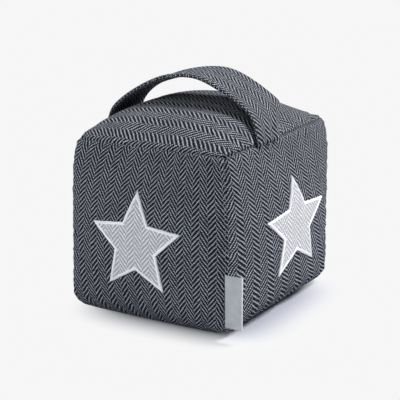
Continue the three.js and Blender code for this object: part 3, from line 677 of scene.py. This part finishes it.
path = label_path()
way = unit(np.gradient(path, axis=0))
offset = np.stack([way[:, 1], -way[:, 0]], -1) * RIBBON_THICK / 2
outline = np.concatenate([path + offset, (path - offset)[::-1]])
heights = np.linspace(LABEL_BOTTOM, LABEL_BOTTOM + LABEL_HEIGHT, LABEL_ROWS)
along_foot = FOOT_RADIUS * np.arccos(1 - np.minimum(heights, FOOT_RADIUS) / FOOT_RADIUS)
along_side = FOOT_ARC + np.maximum(heights, FOOT_RADIUS) - FOOT_RADIUS
v = 2 * np.where(heights < FOOT_RADIUS, along_foot, along_side) / SIDE_LENGTH - 1
corner = form_point("front", np.ones_like(v), v)
out = np.maximum(outline[:, 0], 0)
inside = np.minimum(outline[:, 0], 0) * np.sqrt(0.5)
rise = (heights - heights[0]) / LABEL_HEIGHT
wave = LABEL_WAVE * np.sin(np.pi * rise[:, None] * 1.3 + 0.4) * (out / LABEL_REACH) ** 2
points = np.stack([
    corner[:, :1] + out + inside,
    corner[:, 1:2] + outline[:, 1] - inside - LABEL_SHIFT * np.clip(out, 0, 1) - wave,
    corner[:, 2:] + 0 * out,
], -1)
faces = grid_faces(len(heights), len(outline), wrap_rows=True)
lengths = np.concatenate([[0], np.cumsum(np.linalg.norm(np.diff(outline, axis=0), axis=1))])
# Where the fold lies along the ribbon; the ribbon's finish paints its highlight there.
FOLD_PLACE = float(lengths[len(path) // 2])  # along the ribbon, for its finish
places = np.stack(np.broadcast_arrays(lengths, heights[:, None]), -1).reshape(-1, 2)
folded_label = close_piece(make_piece("folded_label", points.reshape(-1, 3), faces, places[faces]))

# %% [markdown]
# ## Seam thread
# Where the stuffing strains a seam, its thread shows as short slanted bars across the valley. Each bar
# is a thin spindle. All of them are worked out together as one array: bars, rings along a bar, points
# round a ring.

# %% Stitches across the seams
STITCH_SPACING, STITCH_REACH, STITCH_SLANT, STITCH_LIFT = 3.1, 0.75, 0.45, 0.02
THREAD_RADIUS, BAR_RINGS, BAR_SIDES = 0.2, 6, 6
UPRIGHT_SEWN, LEVEL_SEWN = (-0.78, 0.975), (-0.95, 0.955)  # from and to, on the way from -1 to 1
STRAP_CLEAR = 2.0
BODY_MIDDLE = np.array([LEAN[0] / 2, LEAN[1] / 2, SEAM_HEIGHT / 2])


def seam_bars(face, other, along):
    """Spindles from one panel's shoulder to the other's, the far end a little further along the seam. The
    radius is its full one times the root of 1 less t to the fourth, with t from -1 to 1 along the bar."""
    half_u, half_v = HALF_SIZE[face]
    inner = np.full_like(along, 1 - STITCH_REACH / half_u)
    slant = STITCH_SLANT / half_v
    lift = np.full_like(along, STITCH_LIFT)
    start = on_skin(face, inner, along - slant, lift)
    edge = ADDRESS[face](np.ones_like(along), along + slant)
    place = np.stack(PLACE_ON[other](*edge), -1)
    on_edge = np.abs(np.abs(place) - 1) < 1e-6
    place = np.where(on_edge, place * (1 - STITCH_REACH / np.array(HALF_SIZE[other])), place)
    end = on_skin(other, place[:, 0], place[:, 1], lift)
    share = np.linspace(0, 1, BAR_RINGS)
    round_it = 2 * np.pi * np.arange(BAR_SIDES) / BAR_SIDES
    radius = THREAD_RADIUS * np.sqrt(np.clip(1 - (2 * share - 1) ** 4, 0, 1))
    middle = start[:, None] * (1 - share[:, None]) + end[:, None] * share[:, None]
    way = unit(end - start)
    side = unit(np.cross(way, start + end - 2 * BODY_MIDDLE))
    out = np.cross(side, way)
    ring = side[:, None] * np.cos(round_it)[:, None] + out[:, None] * np.sin(round_it)[:, None]
    return middle[:, :, None] + ring[:, None] * radius[:, None, None]


upright = np.arange(*UPRIGHT_SEWN, STITCH_SPACING / (SIDE_LENGTH / 2))
level = np.arange(*LEVEL_SEWN, STITCH_SPACING / COVER_HALF)
_, strap_middle, strap_half_end = STRAP_ENDS["right"]
beside_strap = level[np.abs(level * COVER_HALF - strap_middle) > strap_half_end + STRAP_CLEAR]
bars = [seam_bars(face, NEIGHBOURS[face][1], upright) for face in ("front", "right", "back", "left")]
bars.append(seam_bars("top", "right", beside_strap))
bars = np.concatenate(bars)
one = grid_faces(BAR_RINGS, BAR_SIDES, wrap_rows=True)
faces = (one + BAR_RINGS * BAR_SIDES * np.arange(len(bars))[:, None, None]).reshape(-1, 4)
seam_thread = close_piece(make_piece("seam_thread", bars.reshape(-1, 3), faces))

# %% [markdown]
# ## A small language for finishes
# A procedural finish is arithmetic on coordinates. Written as Math nodes by hand it is long and hard to
# read. So one small class wraps a socket, and Python's own operators on it add the nodes.

# %% Finishes and their sockets


class Socket:
    """An output of a node. Operators on it add Math nodes to the same finish."""

    def __init__(self, finish, link):
        self.finish, self.link = finish, link

    def math(self, operation, *values):
        """A Math node on these values."""
        return self.finish.node("ShaderNodeMath", {"operation": operation}, dict(enumerate(values)))

    def __add__(self, other):
        return self.math("ADD", self, other)

    def __radd__(self, other):
        return self.math("ADD", other, self)

    def __sub__(self, other):
        return self.math("SUBTRACT", self, other)

    def __rsub__(self, other):
        return self.math("SUBTRACT", other, self)

    def __mul__(self, other):
        return self.math("MULTIPLY", self, other)

    def __rmul__(self, other):
        return self.math("MULTIPLY", other, self)

    def __truediv__(self, other):
        return self.math("DIVIDE", self, other)

    def __mod__(self, other):
        return self.math("FLOORED_MODULO", self, other)

    def __lt__(self, other):
        return self.math("LESS_THAN", self, other)


class Finish:
    """A material with one Principled shader. Constants go straight onto the shader's own sockets."""

    def __init__(self, name, constants):
        self.material = bpy.data.materials.new(name)
        self.material.use_nodes = True
        self.tree = self.material.node_tree
        self.shader = self.tree.nodes["Principled BSDF"]
        for socket, value in constants.items():
            self.shader.inputs[socket].default_value = value

    def node(self, kind, settings, values, output=0):
        """Adds a node: its settings first, then the values or links of its sockets."""
        made = self.tree.nodes.new(kind)
        for name, setting in settings.items():
            setattr(made, name, setting)
        for key, value in values.items():
            named = [socket for socket in made.inputs if socket.name == key and socket.enabled]
            socket = named[0] if named else made.inputs[key]
            if isinstance(value, Socket):
                self.tree.links.new(value.link, socket)
            else:
                socket.default_value = value
        shown = [socket for socket in made.outputs if socket.enabled]
        return Socket(self, shown[output])

    def blend(self, share, first, second):
        """A colour between two colours."""
        return self.node("ShaderNodeMix", {"data_type": "RGBA"}, {"Factor": share, "A": first, "B": second})

    def cloth_place(self):
        """Where a point lies on the cloth, in millimetres."""
        return self.node("ShaderNodeUVMap", {"uv_map": "weave"}, {})

    def own_place(self):
        """Where a point lies on the object, in metres."""
        return self.node("ShaderNodeTexCoord", {}, {}, output=3)

    def axis(self, place, number):
        """One of a place's three coordinates."""
        return self.node("ShaderNodeSeparateXYZ", {}, {"Vector": place}, output=number)

    def noise(self, place, scale, detail=2.0):
        """A value near a half that drifts up and down, faster with a larger scale."""
        return self.node("ShaderNodeTexNoise", {}, {"Vector": place, "Scale": scale, "Detail": detail})

    def bump(self, strength, distance, height):
        """A normal that leans as if the surface had this height."""
        return self.node("ShaderNodeBump", {}, {"Strength": strength, "Distance": distance, "Height": height})

    def feed(self, **links):
        """Links values to the shader's sockets by name, with _ for a space."""
        for name, value in links.items():
            self.tree.links.new(value.link, self.shader.inputs[name.replace("_", " ")])
        return self


# %% [markdown]
# ## Herringbone
# Herringbone is a twill: each light weft thread passes over two dark warp threads and under the next
# two, one thread further on in every row, so the floats line up in slanting lines. After eight threads
# the slant turns back, with a jump of half a repeat, which gives the broken zigzag. The finish counts
# threads across and along the cloth, and decides for each crossing which thread lies on top. Each float
# is a small bead: it swells in the middle and dives under its neighbours at both ends.

# %% The weave as numbers
COLUMN_THREADS, REPEAT = 8, 4.0
WARP, WEFT = COLUMN / COLUMN_THREADS, 1.0
TURN_SHIFT = 9  # threads, which makes the jump at every turn half a repeat
ROUNDNESS = 3.6  # how much lower a thread's edges lie than its middle
WANDER, WANDER_SCALE = 1.3, 0.22  # how far the threads stray, and how quickly


def herringbone(finish):
    """Whether the light thread is on top, how far the bead has swelled, and the cloth's coordinates."""
    place = finish.cloth_place()
    drift = {"Vector": place, "Scale": WANDER_SCALE, "Detail": 2.0}
    uneven = finish.node("ShaderNodeTexNoise", {}, drift, output=1)
    wander = finish.node("ShaderNodeVectorMath", {"operation": "SCALE"}, {0: uneven, "Scale": WANDER})
    moved = finish.node("ShaderNodeVectorMath", {"operation": "ADD"}, {0: place, 1: wander})
    across, along = finish.axis(moved, 0) / WARP, finish.axis(moved, 1) / WEFT
    warp, weft = across.math("FLOOR", across), along.math("FLOOR", along)
    column = warp / COLUMN_THREADS
    column = column.math("FLOOR", column)
    turned = column % 2.0
    way = 1 - turned * 2
    slanted = weft + (warp - column * COLUMN_THREADS) * way + turned * TURN_SHIFT
    diagonal = slanted % REPEAT
    light = diagonal < REPEAT / 2 - 0.5
    on_warp, on_weft = across - warp - 0.5, along - weft - 0.5
    weft_run, warp_run = diagonal - 0.5 + on_warp * way, diagonal - 2.5 + on_weft
    weft_bead = (1 - weft_run * weft_run) * (1 - on_weft * on_weft * ROUNDNESS)
    warp_bead = (1 - warp_run * warp_run) * (1 - on_warp * on_warp * ROUNDNESS)
    bead = warp_bead + light * (weft_bead - warp_bead)
    number = finish.node("ShaderNodeCombineXYZ", {}, {0: column, 1: weft, 2: slanted - diagonal})
    chance = finish.node("ShaderNodeTexWhiteNoise", {"noise_dimensions": "3D"}, {"Vector": number})
    return light, bead, chance, place


def tweed(name, dark, light_colour, groove_shade, relief):
    """The float's colour with painted shade where it dives, one float lighter than the next, and flecks over
    all.
    """
    finish = Finish(name, {"Specular IOR Level": 0.1})
    light, bead, chance, place = herringbone(finish)
    spots = {"Vector": place, "Scale": 0.6, "Detail": 3.0, "Roughness": 0.7}
    fleck = finish.node("ShaderNodeTexNoise", {}, spots)
    shade, fuzz = finish.noise(place, 0.03), finish.noise(place, 3.2)
    swelled = bead.math("MAXIMUM", bead, 0.0)
    tone = (0.35 + fleck * 0.8 + chance * 0.5) * (0.8 + shade * 0.4)
    # The last factor is painted shade: it darkens each float where it dives under its neighbours.
    share = (light * tone + (1 - light) * 0.02) * (1 - groove_shade + swelled * swelled * groove_shade)
    colour = finish.blend(share, dark, light_colour)
    height = bead * (0.6 + light * 0.4) + fuzz * 0.3
    bump = finish.bump(relief, 0.0004, height)
    return finish.feed(Base_Color=colour, Roughness=0.86 + fuzz * 0.14, Normal=bump)


DARK_TWEED, LIGHT_TWEED = (0.005, 0.006, 0.009, 1), (0.60, 0.63, 0.72, 1)
GREY_STAR, PALE_STAR = (0.34, 0.342, 0.357, 1), (0.82, 0.825, 0.855, 1)
tweed_cloth = tweed("tweed_cloth", DARK_TWEED, LIGHT_TWEED, groove_shade=0.96, relief=0.6)
star_cloth = tweed("star_cloth", GREY_STAR, PALE_STAR, groove_shade=0.36, relief=0.4)
print("cloth finishes:", tweed_cloth.material.name, star_cloth.material.name)

# %% [markdown]
# ## Thread, ribbon and filling
# Satin stitching and satin ribbon are smooth fibres laid side by side, so they are less rough than tweed
# and catch a soft line of light. Along the ribbon's fold a painted highlight is added to that. The wadding
# and the sand bag are hidden, but they get plain finishes of their own for anyone who opens the cover.

# %% The other finishes
RIB_LENGTH = 0.45
CANVAS_THREADS = 3500  # radians to the metre, which is a thread every 1.8 mm


def satin_thread():
    """White thread, with each stitch a little lighter or darker than the next."""
    finish = Finish("satin_thread", {"Sheen Weight": 0.2, "Sheen Roughness": 0.4})
    tone = finish.noise(finish.cloth_place(), 1.3, 1.0)
    colour = finish.blend(tone, (0.84, 0.85, 0.88, 1), (0.96, 0.965, 0.98, 1))
    return finish.feed(Base_Color=colour, Roughness=0.5 + tone * 0.2)


def grey_thread():
    """Plain sewing thread, a little lighter than the cloth on the whole."""
    finish = Finish("seam_thread", {"Sheen Weight": 0.2})
    tone = finish.noise(finish.own_place(), 900.0)
    colour = finish.blend(tone, (0.22, 0.23, 0.26, 1), (0.42, 0.43, 0.47, 1))
    return finish.feed(Base_Color=colour, Roughness=0.6 + tone * 0.2)


def satin_ribbon():
    """Fine ribs across the ribbon, a slow change of tone, and a painted highlight along its fold."""
    finish = Finish("satin_ribbon", {"Specular IOR Level": 0.4, "Sheen Weight": 0.15})
    place = finish.cloth_place()
    rib = finish.axis(place, 1) * (2 * np.pi / RIB_LENGTH)
    rib = rib.math("SINE", rib)
    tone = finish.noise(place, 0.12, 3.0)
    from_fold = finish.axis(place, 0) - FOLD_PLACE
    # Painted highlight: the colour turns paler and bluer within about one and a half millimetres of the fold.
    painted_fold_highlight = 1 - from_fold * from_fold * 0.5
    painted_fold_highlight = painted_fold_highlight.math("MAXIMUM", painted_fold_highlight, 0.0)
    plain = finish.blend(tone, (0.30, 0.32, 0.325, 1), (0.50, 0.52, 0.53, 1))
    colour = finish.blend(painted_fold_highlight * 0.75, plain, (0.78, 0.80, 0.87, 1))
    bump = finish.bump(0.3, 0.0001, rib + tone)
    return finish.feed(Base_Color=colour, Roughness=0.42 + tone * 0.12, Normal=bump)


def soft_wadding():
    """White fibre in soft clumps, with painted shade that makes it greyer where the clumps lie lower."""
    finish = Finish("soft_wadding", {"Specular IOR Level": 0.1})
    clump = finish.noise(finish.own_place(), 120.0, 6.0)
    bump = finish.bump(0.8, 0.003, clump)
    # Painted shade: the same noise that raises the clumps makes the low parts greyer.
    colour = finish.blend(clump, (0.70, 0.70, 0.68, 1), (0.92, 0.92, 0.90, 1))
    return finish.feed(Base_Color=colour, Roughness=0.95 + clump * 0.05, Normal=bump)


def bag_canvas():
    """Plain weave in the bag's own space: the sum of a sine along each axis, with painted shade in its dips.
    """
    finish = Finish("bag_canvas", {"Specular IOR Level": 0.2})
    place = finish.own_place()
    x, y, z = (finish.axis(place, k) * CANVAS_THREADS for k in range(3))
    threads = x.math("SINE", x) + y.math("SINE", y) + z.math("SINE", z)
    bump = finish.bump(0.5, 0.0003, threads)
    # Painted shade: the colour follows the threads' height, lighter on top and darker between them.
    colour = finish.blend(threads * 0.16 + 0.5, (0.48, 0.44, 0.36, 1), (0.66, 0.62, 0.52, 1))
    return finish.feed(Base_Color=colour, Roughness=0.88 + threads * 0.03, Normal=bump)


finishes = {"stitching": satin_thread(), "ribbon": satin_ribbon(), "thread": grey_thread()}
finishes |= {"wadding": soft_wadding(), "weight_bag": bag_canvas()}
print("finishes:", len(finishes) + 2)

# %% [markdown]
# ## Dressing the frame
# Each piece now gets its finish, rides on the one body, and hides the CAD nodes it stands for. The
# stars and the label are sheets.

# %% Finishes, bodies and replaced nodes


def dress(piece, finish, slot, *nodes):
    """Gives a piece its finish and lets it stand for nodes; slot is not used."""
    piece.data.materials.append(finish.material)
    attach(piece, "root")
    if nodes:
        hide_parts(*nodes)


dress(stuffed_cover, tweed_cloth, "cloth", *(f"{face}_panel" for face in ADDRESS))
dress(strap_handle, tweed_cloth, "cloth", "handle")
dress(seam_thread, finishes["thread"], "cloth")
dress(folded_label, finishes["ribbon"], "ribbon", "side_label")
cut = star_outline(BORDER_WIDTH / 2, 1)
following = np.roll(cut, -1, axis=0)
area = abs(np.sum(cut[:, 0] * following[:, 1] - cut[:, 1] * following[:, 0])) / 2
for face in STAR_SHIFT:
    dress(patches[face], star_cloth, "patch", f"{face}_star_patch")
    dress(borders[face], finishes["stitching"], "stitching", f"{face}_star_border")
for name in ("wadding", "weight_bag"):
    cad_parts[name].material_slots[0].material = finishes[name].material

# %% [markdown]
# ## Studio
# The photograph was taken on a white sweep. Its soft light comes from above and the right, where the main
# lamp stands. A broad weak lamp at the front left and an even sky open up the dark sides. The floor is
# pale, and its colour is painted greyer round the foot as a painted shadow, over the shadow the lamps
# cast there. Beyond that the camera alone sees it as white as the background, so that the two meet
# without a line.

# %% Floor, lamps and sky
BACKGROUND = (0.922, 0.922, 0.922, 1)
SKY_COLOUR, SKY_STRENGTH = (0.96, 0.98, 1.0, 1), 0.29
FLOOR_HALF = 8000.0
DECIMETRES = 10  # in a metre
SHADE_MIDDLE, SHADE_STRETCH = (0.127, -0.06), (1.06, 1.173)
SHADE_INSIDE, SHADE_OUTSIDE = 0.60, 1.10


def make_floor():
    """How far a place is: the fourth root of x and y to the fourth, counted in decimetres from near the
    foot's middle and stretched along each axis. From inside to outside the floor's colour turns smoothly
    from a painted shadow's grey to pale, and for the camera to the background's white."""
    points = np.array([[-1, -1, 0], [1, -1, 0], [1, 1, 0], [-1, 1, 0]]) * FLOOR_HALF
    floor = make_piece("studio_floor", points, [[0, 1, 2, 3]])
    finish = Finish("studio_floor", {"Roughness": 0.9, "Specular IOR Level": 0.1})
    place = finish.own_place()
    x, y = ((finish.axis(place, k) * DECIMETRES - SHADE_MIDDLE[k]) * SHADE_STRETCH[k] for k in range(2))
    fourth = x * x * x * x + y * y * y * y
    reach = fourth.math("POWER", fourth, 0.25)
    far = finish.node("ShaderNodeMapRange", {"interpolation_type": "SMOOTHSTEP"},
                      {"Value": reach, "From Min": SHADE_INSIDE, "From Max": SHADE_OUTSIDE})
    # Painted shadow: the floor's own colour is darker and bluer near the foot and fades to pale further out.
    finish.feed(Base_Color=finish.blend(far, (0.44, 0.452, 0.53, 1), (0.74, 0.75, 0.82, 1)))
    seen = finish.node("ShaderNodeLightPath", {}, {}, output=0)
    glow = finish.node("ShaderNodeEmission", {}, {"Color": BACKGROUND, "Strength": 1.0})
    plain = Socket(finish, finish.shader.outputs[0])
    mixed = finish.node("ShaderNodeMixShader", {}, {0: seen * far, 1: plain, 2: glow})
    finish.tree.links.new(mixed.link, finish.tree.nodes["Material Output"].inputs["Surface"])
    floor.data.materials.append(finish.material)


def add_lamp(name, place, size, power, colour, aim=(0, 0, 0.08)):
    """A round lamp of a size in metres and a power in watts, turned towards the object's middle."""
    lamp = bpy.data.lights.new(name, "AREA")
    lamp.shape, lamp.size, lamp.energy, lamp.color = "DISK", size, power, colour
    holder = bpy.data.objects.new(name, lamp)
    holder.location = place
    holder.rotation_euler = (Vector(place) - Vector(aim)).to_track_quat("Z", "Y").to_euler()
    bpy.context.scene.collection.objects.link(holder)


make_floor()
add_lamp("key_lamp", place=(1.0, 0.60, 1.55), size=0.7, power=46, colour=(1.0, 0.99, 0.97))
add_lamp("fill_lamp", place=(-1.0, -1.15, 1.0), size=1.4, power=16, colour=(0.97, 0.985, 1.0))
world = bpy.data.worlds.new("studio_sky")
world.use_nodes = True
nodes, links = world.node_tree.nodes, world.node_tree.links
nodes["Background"].inputs["Color"].default_value = SKY_COLOUR
nodes["Background"].inputs["Strength"].default_value = SKY_STRENGTH
white = nodes.new("ShaderNodeBackground")
white.inputs["Color"].default_value = BACKGROUND
path_of_ray = nodes.new("ShaderNodeLightPath")
either = nodes.new("ShaderNodeMath")
mixed = nodes.new("ShaderNodeMixShader")
either.operation = "MAXIMUM"
links.new(path_of_ray.outputs["Is Camera Ray"], either.inputs[0])
links.new(path_of_ray.outputs["Is Transmission Ray"], either.inputs[1])
links.new(either.outputs[0], mixed.inputs[0])
links.new(nodes["Background"].outputs[0], mixed.inputs[1])
links.new(white.outputs[0], mixed.inputs[2])
links.new(mixed.outputs[0], nodes["World Output"].inputs["Surface"])
bpy.context.scene.world = world
bpy.context.scene.view_settings.view_transform = "Standard"

# %% [markdown]
# ## Camera
# The camera's direction, distance and lens were worked out from the cube's corners and stars in the
# photograph. It looks a little down on the near edge, and is rolled by almost three degrees.

# %% Camera
AZIMUTH, ELEVATION, ROLL = np.radians([34.0, 16.7, -2.78])
DISTANCE, FOCAL_PIXELS, PICTURE = 1.008, 1258.0, 400
AIM, AIM_PIXEL = np.array([0, 0, 0.069]), (198.72, 213.69)
SENSOR = 36.0
back = np.array([
    np.sin(AZIMUTH) * np.cos(ELEVATION),
    -np.cos(AZIMUTH) * np.cos(ELEVATION),
    np.sin(ELEVATION),
])
level_right = np.array([np.cos(AZIMUTH), np.sin(AZIMUTH), 0])
level_up = np.cross(back, level_right)
right = level_right * np.cos(ROLL) + level_up * np.sin(ROLL)
up = level_up * np.cos(ROLL) - level_right * np.sin(ROLL)
aside = (AIM_PIXEL[0] - PICTURE / 2) / FOCAL_PIXELS * DISTANCE
above = (PICTURE / 2 - AIM_PIXEL[1]) / FOCAL_PIXELS * DISTANCE
eye = AIM + back * DISTANCE - right * aside - up * above
camera = bpy.data.objects.new("camera", bpy.data.cameras.new("camera"))
camera.data.sensor_width = SENSOR
camera.data.lens = SENSOR * FOCAL_PIXELS / PICTURE
camera.matrix_world = Matrix([*zip(right, up, back, eye), (0, 0, 0, 1)])
bpy.context.scene.collection.objects.link(camera)
bpy.context.scene.camera = camera
print("camera at, metres:", np.round(eye, 3).tolist())
